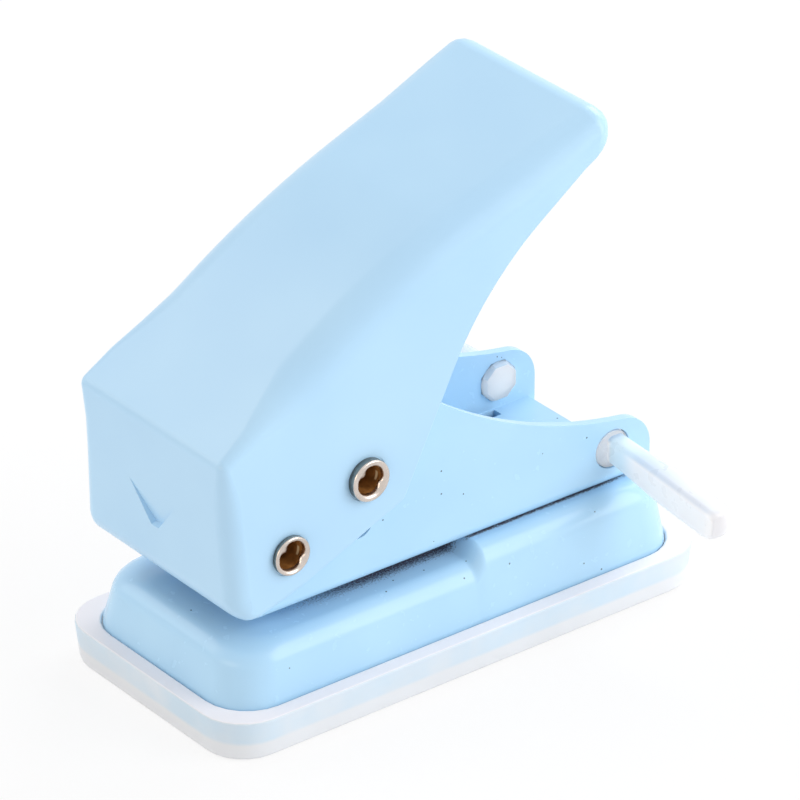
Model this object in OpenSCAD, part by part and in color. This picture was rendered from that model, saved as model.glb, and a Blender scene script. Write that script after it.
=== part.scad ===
// Mini round hole punch: a one-hole desk punch with a moulded lever handle, a folded
// sheet-steel frame on a pressed base, and a pull-off tray that catches the chips.
// Millimetres, +Z up. The origin is the centre of the tray's underside. +X runs to the
// rear, where the handle's tip lifts, and the paper goes in from the -X end.

/* [Base] */
// Length of the base at its lower edge
base_l = 58.6; // [50:0.1:70]
// Width of the base at its lower edge
base_w = 26.5; // [23:0.1:34]
// Corner radius of the base in plan
base_r = 5; // [3.5:0.1:7]
// Thickness of the base's sheet
base_sheet = 1; // [0.7:0.1:1.4]
// Height of the punching table above the ground
table_z = 10.6; // [9.5:0.1:13]
// Height of the paper mouth between table and frame
paper_gap = 1.7; // [1.3:0.1:2.4]
// Slope of the base's sides from upright, degrees
base_draft = 11; // [4:1:18]
// Radius of the shoulder round the base's top
shoulder_r = 2.6; // [1.8:0.1:3.2]
// Distance from the hole's centre to the step that stops the paper
hole_margin = 14.6; // [11:0.1:16]
// Length of the ramp that lifts the base's top at the paper stop
step_l = 1.8; // [1:0.1:3]

/* [Chip tray] */
// Height of the tray
tray_h = 4.6; // [3.5:0.1:6]
// Thickness of the tray's wall and rim
tray_wall = 2; // [1.2:0.1:3]
// Corner radius of the tray's rim in plan
tray_r = 5.2; // [4:0.1:7]
// Thickness of the tray's floor
tray_floor = 1.2; // [0.8:0.1:2]
// Inward lean of the tray's wall at the ground
tray_lean = 0.45; // [0.2:0.05:0.7]
// Radius of the tray's bottom edge
tray_edge = 0.4; // [0.2:0.1:0.8]
// Clearance between the tray and the base inside it
tray_fit = 0.12; // [0.05:0.01:0.3]

/* [Frame] */
// Width of the frame over its walls
frame_w = 20; // [18:0.1:21]
// Thickness of the frame's sheet
frame_sheet = 1; // [0.8:0.1:1.3]
// Outer radius of the bend between floor and walls
frame_bend = 1.5; // [1.4:0.1:2.2]
// Height of the walls above the frame's underside at the crest
crest_h = 17.7; // [17:0.1:19]
// Distance from the drive pin to the rear end of the crest
crest_back = 11.4; // [9:0.1:14]
// Radius of the hollow between crest and ear
dip_r = 56; // [45:1:80]
// Radius of the ear's round corner
ear_r = 4; // [3.4:0.1:5]
// Distance from the frame's underside to the centre of the ear's corner
ear_h = 3.4; // [3:0.1:5]
// Place of the ear's corner along the punch
ear_x = 23.1; // [20:0.1:25]
// Diameter of the hole in each ear
ear_hole_d = 4.5; // [4.1:0.1:4.8]
// Distance from the ear corner's centre forward to its hole
ear_hole_back = 1.1; // [0:0.1:1.4]
// Height of that hole above the corner's centre
ear_hole_up = 0.9; // [0:0.1:1.2]
// Distance that the floor's rear edge stays short of the ears
floor_short = 0.9; // [0.3:0.1:2]
// Radius of the frame's nose round the pivot
nose_r = 4; // [3.2:0.1:4.6]
// Length of the relief slots at the feet of the ears
relief_l = 4.6; // [2:0.1:7]
// Width of the relief slots
relief_w = 1.2; // [0.5:0.1:1.5]

/* [Lever] */
// Place of the pivot along the punch
pivot_x = -22.3; // [-24:0.1:-20]
// Height of the pivot above the frame's underside
pivot_h = 8.8; // [8:0.1:10]
// Distance from the pivot to the drive pin
drive_arm = 11.05; // [10:0.05:13]
// Angle of the drive pin above the pivot with the handle up, degrees
drive_rest = 29; // [26:1:32]
// Travel of the handle, degrees
press_angle = 30; // [24:1:32]
// Extra travel that the frame's slots leave at their lower ends, degrees
slot_spare = 7; // [3:1:9]

/* [Handle] */
// Width of the handle at the pivot
handle_w = 26; // [24.5:0.1:30]
// Radius of the nose's lower corner
nose_corner_r = 2.7; // [1.5:0.1:3]
// Thickness of the handle's wall
handle_wall = 2; // [1.5:0.1:2.4]
// Inward lean of the handle's sides, degrees
handle_draft = 3.4; // [0:0.1:4]
// Slope of the handle's length from level, degrees
handle_slope = 35; // [28:1:38]
// Distance from the pivot forward to the nose's lower corner
nose_x = 6.8; // [6.4:0.1:9]
// Depth of the nose's lower corner below the pivot
nose_z = 7.6; // [6:0.1:7.8]
// Height of the brow, where front and top meet, above the pivot
brow_z = 11.9; // [10:0.1:15]
// Forward lean of the front face, from its lower corner to the brow
brow_lean = 0.9; // [0:0.1:3]
// Distance from the pivot back to the skirt's lowest rear corner
skirt_x = 14.2; // [13:0.1:16]
// Height of that corner above the pivot
skirt_z = 1.5; // [0.8:0.1:3]
// Distance from the pivot back to the bend of the rear edge
throat_x = 24.9; // [23:0.1:27]
// Height of that bend above the pivot
throat_z = 21.7; // [20:0.1:23]
// Radius of that bend
throat_r = 38; // [20:1:45]
// Distance from the pivot back to the tip
tip_x = 42.2; // [38:0.1:45]
// Height of the tip's top above the pivot
tip_z = 37.2; // [36:0.1:39]
// Thickness of the tip
tip_t = 3.1; // [2.9:0.1:5]
// Radius of the tip's top corner
tip_r = 2.1; // [1:0.1:2.1]
// Radius of the skirt's lowest rear corner
skirt_r = 1.5; // [0.5:0.1:3]
// Distance from the pivot back to the middle of the crown
crown_x = 12.5; // [10:0.1:15]
// Height of the crown's corner above the pivot
crown_z = 26; // [25:0.1:27]
// Radius of the crown
crown_r = 215; // [120:5:230]
// Rounding of the long top edges
top_edge_r = 4; // [2.5:0.1:5]
// Rounding of the upright front edges
front_edge_r = 2.1; // [1:0.1:2.2]
// Rounding to which those edges shrink under the nose
under_edge_r = 1.2; // [0.5:0.1:2]
// Rounding of the edges round the tip
tip_edge_r = 3; // [1:0.1:3.5]
// Rounding of the lower edge behind the nose
rim_r = 0.25; // [0.15:0.05:0.4]
// Length over which the nose's rounding runs out along the lower edge
rim_blend = 7; // [4:0.5:12]
// Rounding of the brow itself
brow_edge_r = 1.2; // [0.9:0.1:1.6]
// Rounding of the upright and the long edges where they meet at the brow
brow_corner_r = 1.1; // [0.6:0.1:1.4]
// Length over which the top edges reach their full rounding
edge_blend = 13; // [6:1:20]
// Length over which the upright front edges reach theirs
front_blend = 4.3; // [3:0.1:6]
// Depth of the arrow in the front face
arrow_depth = 0.7; // [0.4:0.1:1]
// Length of the arrow
arrow_l = 4; // [3.5:0.5:9]
// Width of the arrow
arrow_w = 8; // [5:0.5:12]
// Width of the arrow at its tip
arrow_tip_w = 1.2; // [0.4:0.1:1.6]
// Height of the arrow's tip above the pivot
arrow_z = -0.1; // [-1:0.1:2]

/* [Rivets] */
// Outer diameter of the hollow rivets
rivet_d = 3.2; // [2.8:0.1:3.4]
// Bore of the hollow rivets
rivet_bore = 2.4; // [2:0.1:2.6]
// Diameter of the pivot rivet's heads
pivot_head_d = 4.3; // [4.2:0.1:5.2]
// Thickness of the pivot rivet's heads
pivot_head_t = 0.6; // [0.5:0.1:1]
// Diameter of the drive rivet's heads
drive_head_d = 4.6; // [4.3:0.1:5.6]
// Thickness of the drive rivet's heads
drive_head_t = 0.9; // [0.6:0.1:1.2]
// Gap round their heads in the flat seats of the handle
head_seat_fit = 0.15; // [0.05:0.05:0.3]
// Running clearance of the pivot in the frame
pivot_fit = 0.05; // [0.02:0.01:0.09]
// Clearance of the drive rivet in the frame's slots
slot_fit = 0.3; // [0.2:0.05:0.5]
// Outer diameter of the washers between handle and frame
washer_d = 6.2; // [5.4:0.1:7]
// Gap between the washers and the frame
washer_gap = 0.12; // [0.05:0.01:0.3]
// Shank diameter of the rivets that hold the frame to the base
frame_rivet_d = 2.6; // [2:0.1:3.2]
// Head diameter of those rivets
frame_rivet_head_d = 4.6; // [4:0.1:5.5]
// Head height of those rivets
frame_rivet_head_t = 0.8; // [0.5:0.1:1.2]
// Distance from the paper stop to the front rivet
frame_rivet_x = 6; // [5:0.5:8]
// Distance between the two rivets
frame_rivet_pitch = 10; // [7:0.5:11]

/* [Punch] */
// Diameter of the punch, which is the size of the hole
punch_d = 6; // [5:0.1:6.4]
// Sliding clearance of the punch in its guide and die
punch_fit = 0.05; // [0.02:0.01:0.09]
// Height of the cutting edge above the frame's underside at rest
punch_lift = 0.4; // [0.2:0.1:0.8]
// Radius of the hollow ground into the punch's end
punch_hollow_r = 5; // [4:0.5:8]
// Depth of that hollow
punch_hollow = 0.8; // [0.4:0.1:1.2]
// Height of the drawn collar that guides the punch
collar_h = 2.2; // [1.5:0.1:2.6]
// Wall of that collar
collar_wall = 0.6; // [0.5:0.1:0.7]
// Length of the die plate along the punch
die_l = 14; // [11:0.5:16]
// Width of the die plate
die_w = 15; // [11:0.5:16]
// Thickness of the die plate
die_t = 1.5; // [1:0.1:2]
// Outer diameter of the sleeve on the drive rivet
sleeve_d = 4.4; // [4.2:0.1:5]
// Gap between the sleeve and the punch's top at rest
drive_gap = 0.1; // [0.05:0.01:0.2]
// Thickness of the punch's retaining clip
clip_t = 0.6; // [0.5:0.1:0.8]
// Outer diameter of the clip
clip_d = 8.6; // [8:0.1:9]
// Depth of the clip's groove
clip_depth = 0.6; // [0.4:0.1:0.8]
// Length of pin above the groove
clip_top = 0.6; // [0.5:0.1:1]
// Side play of the clip in its groove
clip_fit = 0.03; // [0.02:0.01:0.08]

/* [Return spring] */
// Wire diameter of the return spring
wire_d = 0.6; // [0.4:0.05:0.7]
// Mean diameter of the return spring
spring_d = 9.2; // [9:0.1:9.3]
// Number of turns of the return spring
spring_turns = 4; // [3:1:5]
// Gap at each end of the spring
spring_fit = 0.1; // [0.05:0.01:0.2]
// Thickness of the washer over the spring
seat_t = 0.5; // [0.4:0.1:0.8]
// Outer diameter of that washer
seat_d = 10; // [9.4:0.1:11]

/* [Side arms] */
// Height of an arm where it passes the ear
arm_neck_h = 3; // [2.4:0.1:3.1]
// Width of an arm where it passes the ear
arm_neck_w = 2.3; // [1.8:0.1:2.4]
// Height of an arm at its end
arm_end_h = 3.6; // [3:0.1:4.5]
// Width of an arm at its end
arm_end_w = 2.9; // [2.4:0.1:3.5]
// Length of an arm outside the ear
arm_l = 17; // [12:0.2:24]
// Length over which an arm widens
arm_flare_l = 10; // [6:0.5:11]
// Clearance round an arm's plug in the ear's hole
arm_fit = 0.15; // [0.05:0.05:0.3]
// Width over corners of the eight-sided head inside the ear
arm_head_d = 4.9; // [4.6:0.1:5.2]
// Thickness of that head
arm_head_t = 0.7; // [0.4:0.1:1.2]
// Distance that an arm sits behind the middle of its plug
arm_back = 0.4; // [0:0.1:0.5]
// Droop of an arm from level, degrees
arm_droop = 6; // [0:1:9]
// Radius of an arm's long edges
arm_edge_r = 0.7; // [0.4:0.1:0.8]

/* [Hidden] */
$fn = 48;

// Signs of the two sides across the punch
LEFT = -1;
RIGHT = 1;
// Overshoot of a cut past the face that it opens
past = 0.5;
// Share of a round edge's radius from either face to the middle of its arc
mid_arc = 1 - cos(45);
// Least rounding of the corners inside the handle
inner_corner_r = 0.5;
// Rounding left where an edge's rounding eats up a corner of the handle's outline
least_r = 0.1;
// Longest piece of the handle's outline without a point
outline_step = 4;
// Steps round the handle's edges, from its top to its side
turn_steps = 6;
// Sides of the rolled edge of a rivet's head
roll_sides = 12;
// Angle up the frame's nose at which its round meets the slope to the crest
nose_turn = 40;

// Tray and base
tray_l = base_l + 2 * (tray_fit + tray_wall);
tray_w = base_w + 2 * (tray_fit + tray_wall);
tray_in_r = base_r + tray_fit;
base_z = tray_floor + tray_fit;
frame_z = table_z + paper_gap;
floor_z = frame_z + frame_sheet;

// Lever positions at rest
pivot_z = frame_z + pivot_h;
drive_x = pivot_x + drive_arm * cos(drive_rest);
drive_z = pivot_z + drive_arm * sin(drive_rest);
drive_x_down = pivot_x + drive_arm * cos(drive_rest - press_angle);

// Punch, spring and what is stacked on them
punch_x = (drive_x + drive_x_down) / 2;
punch_top = drive_z - sleeve_d / 2 - drive_gap;
groove_top = punch_top - clip_top;
clip_z = groove_top - clip_fit - clip_t;
seat_z = clip_z - seat_t;
collar_d = punch_d + 2 * (punch_fit + collar_wall);
stop_x = punch_x + hole_margin;

// Handle and frame across the punch
handle_in = handle_w / 2 - handle_wall;
frame_in = frame_w / 2 - frame_sheet;
washer_t = handle_in - frame_w / 2 - washer_gap;
rivet_r = rivet_d / 2;
slot_r = rivet_r + slot_fit;

// Ears
ear_z = frame_z + ear_h;
ear_hole_x = ear_x - ear_hole_back;
ear_hole_z = ear_z + ear_hole_up;
ear_rear = ear_x + ear_r;
crest_z = frame_z + crest_h;
crest_x = drive_x + crest_back;

// Colours
sky_plastic = [0.70, 0.86, 0.96];
sky_paint = [0.68, 0.86, 0.97];
frosted = [0.93, 0.94, 0.97, 0.6];
nickel = [0.78, 0.76, 0.72];
steel = [0.62, 0.63, 0.65];
spring_steel = [0.55, 0.56, 0.58];
nylon = [0.92, 0.92, 0.90];

// Smooth step from 0 to 1 as u goes from 0 to 1
function ease(u) = let (v = max(0, min(1, u))) v * v * (3 - 2 * v);

function unit(v) = v / norm(v);

// Corner b of an outline a, b, c rounded with radius r, as n + 1 points, each with its outward
// normal, the radius, and the way inward of the corner of a line that moves in by 1
function rounded_corner(a, b, c, r, n) =
    let (u = unit(a - b), v = unit(c - b), half = acos(u * v) / 2)
    let (room = 0.49 * min(norm(a - b), norm(c - b)) * tan(half), q = min(r, room))
    let (m = b + unit(u + v) * q / sin(half), s = b + u * q / tan(half) - m)
    let (turn = (180 - 2 * half) * sign(u.x * v.y - u.y * v.x) * -1)
    [for (k = [0:n])
        let (w = turn * k / n, d = [s.x * cos(w) - s.y * sin(w), s.x * sin(w) + s.y * cos(w)])
        [m + d, unit(d), q, unit(u + v) / sin(half)]];

// Meeting point of two lines p + s u and q + t v
function crossing(p, u, q, v) = p + u * ((q - p).x * v.y - (q - p).y * v.x) / (u.x * v.y - u.y * v.x);

// Corner b of an outline a, b, c that runs clockwise, with both sides moved inward by d
function inset_corner(a, b, c, d) =
    let (u = unit(b - a), v = unit(c - b))
    crossing(b + d * [u.y, -u.x], u, b + d * [v.y, -v.x], v);

// Triangles of the wall between rings of n points each, ring after ring
function ring_walls(rings, n) =
    [for (j = [0:rings - 2], i = [0:n - 1])
        let (k = (i + 1) % n, a = j * n + i, b = j * n + k, c = a + n, d = b + n)
        each [[a, d, b], [a, c, d]]];

// Closed solid through rings of n points, with flat or convex ends
module ring_solid(rings) {
    n = len(rings[0]);
    last = (len(rings) - 1) * n;
    polyhedron(
        points = [for (ring = rings) each ring],
        faces = concat(
            ring_walls(len(rings), n),
            [[for (i = [0:n - 1]) i]],
            [[for (i = [0:n - 1]) last + n - 1 - i]]),
        convexity = 8);
}

// Plan of a rounded rectangle: one long side from front to rear, then the other back again
function plan_side(l, w, r, extra_x) =
    concat(
        [for (k = [0:6]) [-l / 2 + r - r * cos(15 * k), -w / 2 + r - r * sin(15 * k)]],
        [for (x = extra_x) [x, -w / 2]],
        [for (k = [0:6]) [l / 2 - r + r * sin(15 * k), -w / 2 + r - r * cos(15 * k)]]);

function both_sides(side) =
    concat(side, [for (i = [len(side) - 1:-1:0]) [side[i].x, -side[i].y]]);

// Height that the base's top gains over the table at the paper stop
function step_up(x) = paper_gap * ease((x - stop_x) / step_l + 0.5);

// Profile of the base's side as [inset, height, share of the step], moved inward by d
function base_profile(d) =
    let (r = shoulder_r - d, top = table_z - d, tilt = base_draft)
    let (rise = top - r + r * sin(tilt) - tray_h, m = d + r * cos(tilt) + rise * tan(tilt))
    concat(
        [[d, base_z, 0], [d, tray_h, 0]],
        [for (k = [0:7])
            let (a = tilt + (90 - tilt) * k / 7, z = top - r + r * sin(a))
            [m - r * cos(a), z, ease((z - tray_h) / (top - tray_h))]]);

step_stations = [for (k = [0:8]) stop_x + step_l * (k / 8 - 0.5)];

function base_ring(p) =
    [for (q = both_sides(plan_side(base_l - 2 * p[0], base_w - 2 * p[0], base_r, step_stations)))
        [q.x, q.y, p[1] + p[2] * step_up(q.x)]];

// Strip that closes a ring across the base, so that it follows the step
function cross_strip(first, n) =
    [for (i = [0:n / 2 - 2])
        let (a = first + i, b = first + i + 1, c = first + n - 2 - i, d = first + n - 1 - i)
        each [[a, c, b], [a, d, c]]];

function turned_over(faces) = [for (f = faces) [f[0], f[2], f[1]]];

// The base's pressed sheet: up the outside, over the top, and back down the inside
module base_sheet_form() {
    outer = [for (p = base_profile(0)) base_ring(p)];
    inner = [for (p = base_profile(base_sheet)) base_ring(p)];
    m = len(outer);
    n = len(outer[0]);
    skin = concat(ring_walls(m, n), cross_strip((m - 1) * n, n));
    below = m * n;
    polyhedron(
        points = [for (ring = concat(outer, inner)) each ring],
        faces = concat(
            skin,
            turned_over([for (f = skin) [f[0] + below, f[1] + below, f[2] + below]]),
            [for (i = [0:n - 1])
                let (k = (i + 1) % n)
                each [[i, k, below + k], [i, below + k, below + i]]]),
        convexity = 8);
}

// Upright hole through the base or frame
module drill(x, d, z_low, z_high) {
    translate([x, 0, z_low]) cylinder(d = d, h = z_high - z_low);
}

frame_rivet_places = [stop_x + frame_rivet_x, stop_x + frame_rivet_x + frame_rivet_pitch];

module base() {
    color(sky_paint) difference() {
        base_sheet_form();
        drill(punch_x, punch_d + 2 * slot_fit, table_z - base_sheet - past, table_z + past);
        for (x = frame_rivet_places)
            drill(x, frame_rivet_d, frame_z - base_sheet - past, frame_z + past);
    }
}

module die_plate() {
    low = table_z - base_sheet - die_t;
    color(steel) difference() {
        translate([punch_x - die_l / 2, -die_w / 2, low]) cube([die_l, die_w, die_t]);
        drill(punch_x, punch_d + 2 * punch_fit, low - past, low + die_t + past);
    }
}

function tray_ring(inset, z, r) =
    [for (q = both_sides(plan_side(tray_l - 2 * inset, tray_w - 2 * inset, r, []))) [q.x, q.y, z]];

module chip_tray() {
    rim = tray_edge / 2;
    low_r = tray_r - tray_lean;
    color(frosted) ring_solid([
        tray_ring(tray_lean + tray_edge, 0, low_r - tray_edge),
        tray_ring(tray_lean + tray_edge * mid_arc, tray_edge * mid_arc, low_r - tray_edge * mid_arc),
        tray_ring(tray_lean, tray_edge, low_r),
        tray_ring(0, tray_h - rim, tray_r),
        tray_ring(rim * mid_arc, tray_h - rim * mid_arc, tray_r - rim * mid_arc),
        tray_ring(rim, tray_h, tray_r - rim),
        tray_ring(tray_wall - rim, tray_h, tray_in_r + rim),
        tray_ring(tray_wall, tray_h - rim, tray_in_r),
        tray_ring(tray_wall, tray_floor, tray_in_r)
    ]);
}

// Solid from a side view: the outline's X and Y become X and Z, from y_low to y_high
module from_side(y_low, y_high) {
    translate([0, y_high, 0]) rotate([90, 0, 0]) linear_extrude(y_high - y_low) children();
}

// Hollow that starts at the crest and runs smoothly into the ear's round corner
hollow_a = [crest_x, crest_z];
ear_m = [ear_x, ear_z];
hollow_chord = norm(ear_m - hollow_a);
hollow_along = unit(ear_m - hollow_a);
hollow_up = [-hollow_along.y, hollow_along.x];
hollow_reach = (hollow_chord * hollow_chord - ear_r * ear_r - 2 * dip_r * ear_r) / (2 * hollow_chord);
hollow_m = hollow_a + hollow_along * hollow_reach
    + hollow_up * sqrt(dip_r * dip_r - hollow_reach * hollow_reach);
hollow_b = ear_m + unit(hollow_m - ear_m) * ear_r;

// Front end of the frame's floor, behind the nose so that paper meets a slanted edge
floor_front = pivot_x - nose_r / 3;

module frame_side_view() {
    crest_front = [drive_x - slot_r - frame_sheet, crest_z];
    difference() {
        union() {
            translate([pivot_x, pivot_z]) circle(nose_r);
            polygon([
                [floor_front, frame_z], [ear_rear, frame_z], [ear_rear, ear_z],
                hollow_b, hollow_a, crest_front,
                [pivot_x - nose_r * sin(nose_turn), pivot_z + nose_r * cos(nose_turn)],
                [pivot_x - nose_r, pivot_z]
            ]);
            translate(ear_m) circle(ear_r);
        }
        translate(hollow_m) circle(dip_r, $fn = 160);
    }
}

// Path of the drive rivet through a wall, as a slot bent round the pivot
module drive_slot_view() {
    reach = 2 * drive_arm;
    low = drive_rest - press_angle - slot_spare;
    translate([pivot_x, pivot_z]) {
        intersection() {
            difference() {
                circle(drive_arm + slot_r, $fn = 96);
                circle(drive_arm - slot_r, $fn = 96);
            }
            polygon([[0, 0], reach * [cos(low), sin(low)], reach * [cos(drive_rest), sin(drive_rest)]]);
        }
        for (a = [low, drive_rest])
            translate(drive_arm * [cos(a), sin(a)]) circle(slot_r);
    }
}

// Section of the folded sheet across the punch
module frame_section() {
    half = frame_w / 2;
    tall = crest_z + nose_r;
    difference() {
        union() {
            translate([-half, frame_z + frame_bend]) square([frame_w, tall - frame_z - frame_bend]);
            translate([frame_bend - half, frame_z]) square([frame_w - 2 * frame_bend, frame_bend]);
            for (s = [LEFT, RIGHT])
                translate([s * (half - frame_bend), frame_z + frame_bend]) circle(frame_bend);
        }
        translate([-frame_in, floor_z]) square([2 * frame_in, tall]);
    }
}

module frame() {
    half = frame_w / 2 + past;
    color(sky_paint) difference() {
        union() {
            intersection() {
                from_side(-half, half) frame_side_view();
                translate([pivot_x - 2 * nose_r, 0, 0])
                    rotate([90, 0, 90])
                        linear_extrude(ear_rear - pivot_x + 3 * nose_r) frame_section();
            }
            translate([punch_x, 0, frame_z]) cylinder(d = collar_d, h = frame_sheet + collar_h);
        }
        drill(punch_x, punch_d + 2 * punch_fit, frame_z - past, floor_z + collar_h + past);
        from_side(-half, half) drive_slot_view();
        from_side(-half, half) translate([pivot_x, pivot_z]) circle(rivet_r + pivot_fit);
        from_side(-half, half) translate([ear_hole_x, ear_hole_z]) circle(d = ear_hole_d);
        for (x = frame_rivet_places) drill(x, frame_rivet_d, frame_z - past, floor_z + past);
        translate([ear_rear - floor_short, -frame_in, frame_z - past])
            cube([floor_short + past, 2 * frame_in, frame_sheet + 2 * past]);
        for (s = [LEFT, RIGHT])
            translate([ear_hole_x - relief_w / 2, s * (frame_in - relief_w * 2 / 3), frame_z - past])
                translate([-relief_l, -relief_w / 2, 0])
                    cube([relief_l, relief_w, frame_sheet + 2 * past]);
    }
}

// Solid rivet through frame and base: domed head above, flat head below
module frame_rivet(x) {
    low = frame_z - base_sheet;
    r = frame_rivet_d / 2;
    head_r = frame_rivet_head_d / 2;
    t = frame_rivet_head_t;
    dome_r = (head_r * head_r + t * t) / (2 * t);
    color(steel) translate([x, 0, 0]) {
        translate([0, 0, low]) cylinder(r = r, h = frame_sheet + base_sheet);
        translate([0, 0, low - t]) cylinder(r1 = head_r - t / 2, r2 = head_r, h = t);
        translate([0, 0, floor_z]) intersection() {
            cylinder(r = head_r, h = t);
            translate([0, 0, t - dome_r]) sphere(dome_r);
        }
    }
}

module frame_rivet_front() { frame_rivet(frame_rivet_places[0]); }
module frame_rivet_rear() { frame_rivet(frame_rivet_places[1]); }

// Corners of the handle seen from the side, measured from the pivot
brow = [-nose_x - brow_lean, brow_z];
crown = [crown_x, crown_z];
tip = [tip_x, tip_z];
tip_low = [tip_x, tip_z - tip_t];
throat = [throat_x, throat_z];
skirt = [skirt_x, skirt_z];
nose = [-nose_x, -nose_z];
front_slope = brow_lean / (brow_z + nose_z);

// Outline from under the nose, up the front and over the crown to the tip's lower edge
nose_arc = rounded_corner(brow, nose, skirt, nose_corner_r, 8);
nose_last = len([for (q = nose_arc) if (q[0].x < nose.x + handle_wall - inner_corner_r) q]) - 1;
outer_path = finer(concat(
    [for (k = [nose_last:-1:0]) nose_arc[k]],
    rounded_corner(nose, brow, crown, brow_edge_r, 4),
    rounded_corner(brow, crown, tip, crown_r, 14),
    rounded_corner(crown, tip, tip - [0, 2 * tip_t], tip_r, 6),
    [[tip_low, [1, 0], crown_r, [0, 0]]]), outline_step);

// Lower edge from there round the skirt to the tip
throat_arc = rounded_corner(skirt, throat, tip_low, throat_r, 12);
low_path = finer(concat(
    [for (k = [nose_last + 1:1:len(nose_arc) - 1]) nose_arc[k]],
    rounded_corner(nose, skirt, throat, skirt_r, 6),
    [for (q = throat_arc) [q[0], -q[1], crown_r, [0, 0]]],
    [[tip_low, -throat_arc[len(throat_arc) - 1][1], crown_r, [0, 0]]]), outline_step / 2);
lower_line = concat([for (k = [0:nose_last]) nose_arc[k][0]], [for (q = low_path) q[0]]);
function lower_z(x) = lookup(x, lower_line);

// Outline of the hollow, one wall inside
inner_front = nose + [handle_wall, 0];
inner_brow = inset_corner(nose, brow, crown, handle_wall);
inner_crown = inset_corner(brow, crown, tip, handle_wall);
inner_tip = inset_corner(crown, tip, tip_low, handle_wall);
inner_rear = tip_low - [handle_wall, 0];
inner_path = finer(concat(
    [[inner_front, [-1, 0], crown_r, [0, 0]]],
    rounded_corner(inner_front, inner_brow, inner_crown, inner_corner_r, 3),
    rounded_corner(inner_brow, inner_crown, inner_tip, crown_r - handle_wall, 8),
    rounded_corner(inner_crown, inner_tip, inner_rear, inner_corner_r, 3),
    [[inner_rear, [1, 0], crown_r, [0, 0]]]), outline_step);

// Path with points added where two lie more than a step apart
function finer(path, step) =
    concat(
        [for (i = [0:len(path) - 2])
            let (a = path[i], b = path[i + 1], n = ceil(norm(b[0] - a[0]) / step))
            for (k = [0:1:n - 1])
                k == 0 ? a : [a[0] + (b[0] - a[0]) * k / n, a[1], crown_r, [0, 0]]],
        [path[len(path) - 1]]);

// Point q of a path moved inward by d
function moved_in(q, d) =
    let (over = max(0, d - q[2] + least_r))
    q[0] - q[1] * (d - over) + q[3] * over;

// Edge rounding that grows from low to its goal with the distance from a corner of radius r
function grown(p, corner, r, low, goal, blend) = low + (goal - low) * ease((norm(p - corner) - r) / blend);

// Rounding of the handle's edges at a point of its outline, and at a point of its lower edge
function edge_r(p) =
    p.y < nose_arc[0][0].y
    ? front_edge_r + (under_edge_r - front_edge_r) * min(1, (p.x - nose.x) / handle_wall)
    : p.y < brow_z - brow_edge_r ? grown(p, brow, brow_edge_r, brow_corner_r, front_edge_r, front_blend)
    : min(
        grown(p, brow, brow_edge_r, brow_corner_r, top_edge_r, edge_blend),
        grown(p, tip, tip_r, tip_edge_r, top_edge_r, edge_blend));
function low_edge_r(p) =
    under_edge_r + (rim_r - under_edge_r) * ease((p.x - nose.x - handle_wall) / rim_blend);

// Half width of the handle at a point, less towards the top of its sloping length
function half_at(p) =
    handle_w / 2 - tan(handle_draft) * (p.y * cos(handle_slope) - p.x * sin(handle_slope));

// Points round the edge at station q of a path, from one side of the handle to its outline. A low
// end of the skin lies on the lower edge.
function edge_turn(q, r, side, low) =
    [for (k = [0:turn_steps])
        let (a = 90 * k / turn_steps, m = moved_in(q, r * (1 - sin(a))), p = low ? [m.x, lower_z(m.x)] : m)
        [p.x, side * (half_at(p) - r * (1 - cos(a))), p.y]];
function turned_round(list) = [for (i = [len(list) - 1:-1:0]) list[i]];

// Points across the handle at station q, from the left side over to the right
function outer_row(q, low) =
    let (r = edge_r(q[0]))
    concat(edge_turn(q, r, LEFT, low), turned_round(edge_turn(q, r, RIGHT, low)));
function inner_row(q, low) =
    let (c = edge_r(q[0]) / 2, m = moved_in(q, c))
    let (side = low ? [m.x, lower_z(m.x)] : m, roof = low ? [q[0].x, lower_z(q[0].x)] : q[0])
    [for (w = [[LEFT, side, 0], [LEFT, roof, c], [RIGHT, roof, c], [RIGHT, side, 0]])
        [w[1].x, w[0] * (handle_in - w[2]), w[1].y]];
outer_last = len(outer_path) - 1;
inner_last = len(inner_path) - 1;
outer_rows = [for (i = [0:outer_last]) outer_row(outer_path[i], i == outer_last)];
inner_rows = [for (i = [0:inner_last]) inner_row(inner_path[i], i == 0 || i == inner_last)];

// Rows round the lower edge of either side, and the points of that edge inside the handle
function low_between(a, b) = [for (q = low_path) if (q[0].x > a && q[0].x < b) q];
outer_low = low_between(nose.x, outer_rows[outer_last][0].x - least_r);
low_rows = [for (side = [LEFT, RIGHT]) [for (q = outer_low) edge_turn(q, low_edge_r(q[0]), side, false)]];
inner_low = low_between(inner_rows[0][0].x + least_r, inner_rows[inner_last][0].x - least_r);

// Share of a line's length at each of its points
function shares(line) =
    let (steps = [for (i = [0:len(line) - 2]) norm(line[i + 1] - line[i])])
    let (n = len(steps))
    let (sums = [for (i = 0, sum = 0; i <= n; sum = sum + (i < n ? steps[i] : 0), i = i + 1) sum])
    sums / sums[n];

// Triangles between two lines of points with indices p and q, joined in order of the shares s and t
function zipper(p, s, q, t) =
    concat(
        [for (i = [0:len(p) - 2])
            [p[i], p[i + 1], q[len([for (k = [1:1:len(q) - 1]) if (t[k] < s[i + 1]) k])]]],
        [for (j = [0:1:len(q) - 2])
            [p[len([for (k = [1:len(p) - 1]) if (s[k] <= t[j + 1]) k])], q[j + 1], q[j]]]);

// Faces between lines of w points, whose first points have the indices in list
function line_faces(list, w) =
    [for (j = [0:len(list) - 2], i = [0:w - 2])
        let (a = list[j] + i, b = list[j + 1] + i)
        each [[a, a + 1, b + 1], [a, b + 1, b]]];

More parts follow.
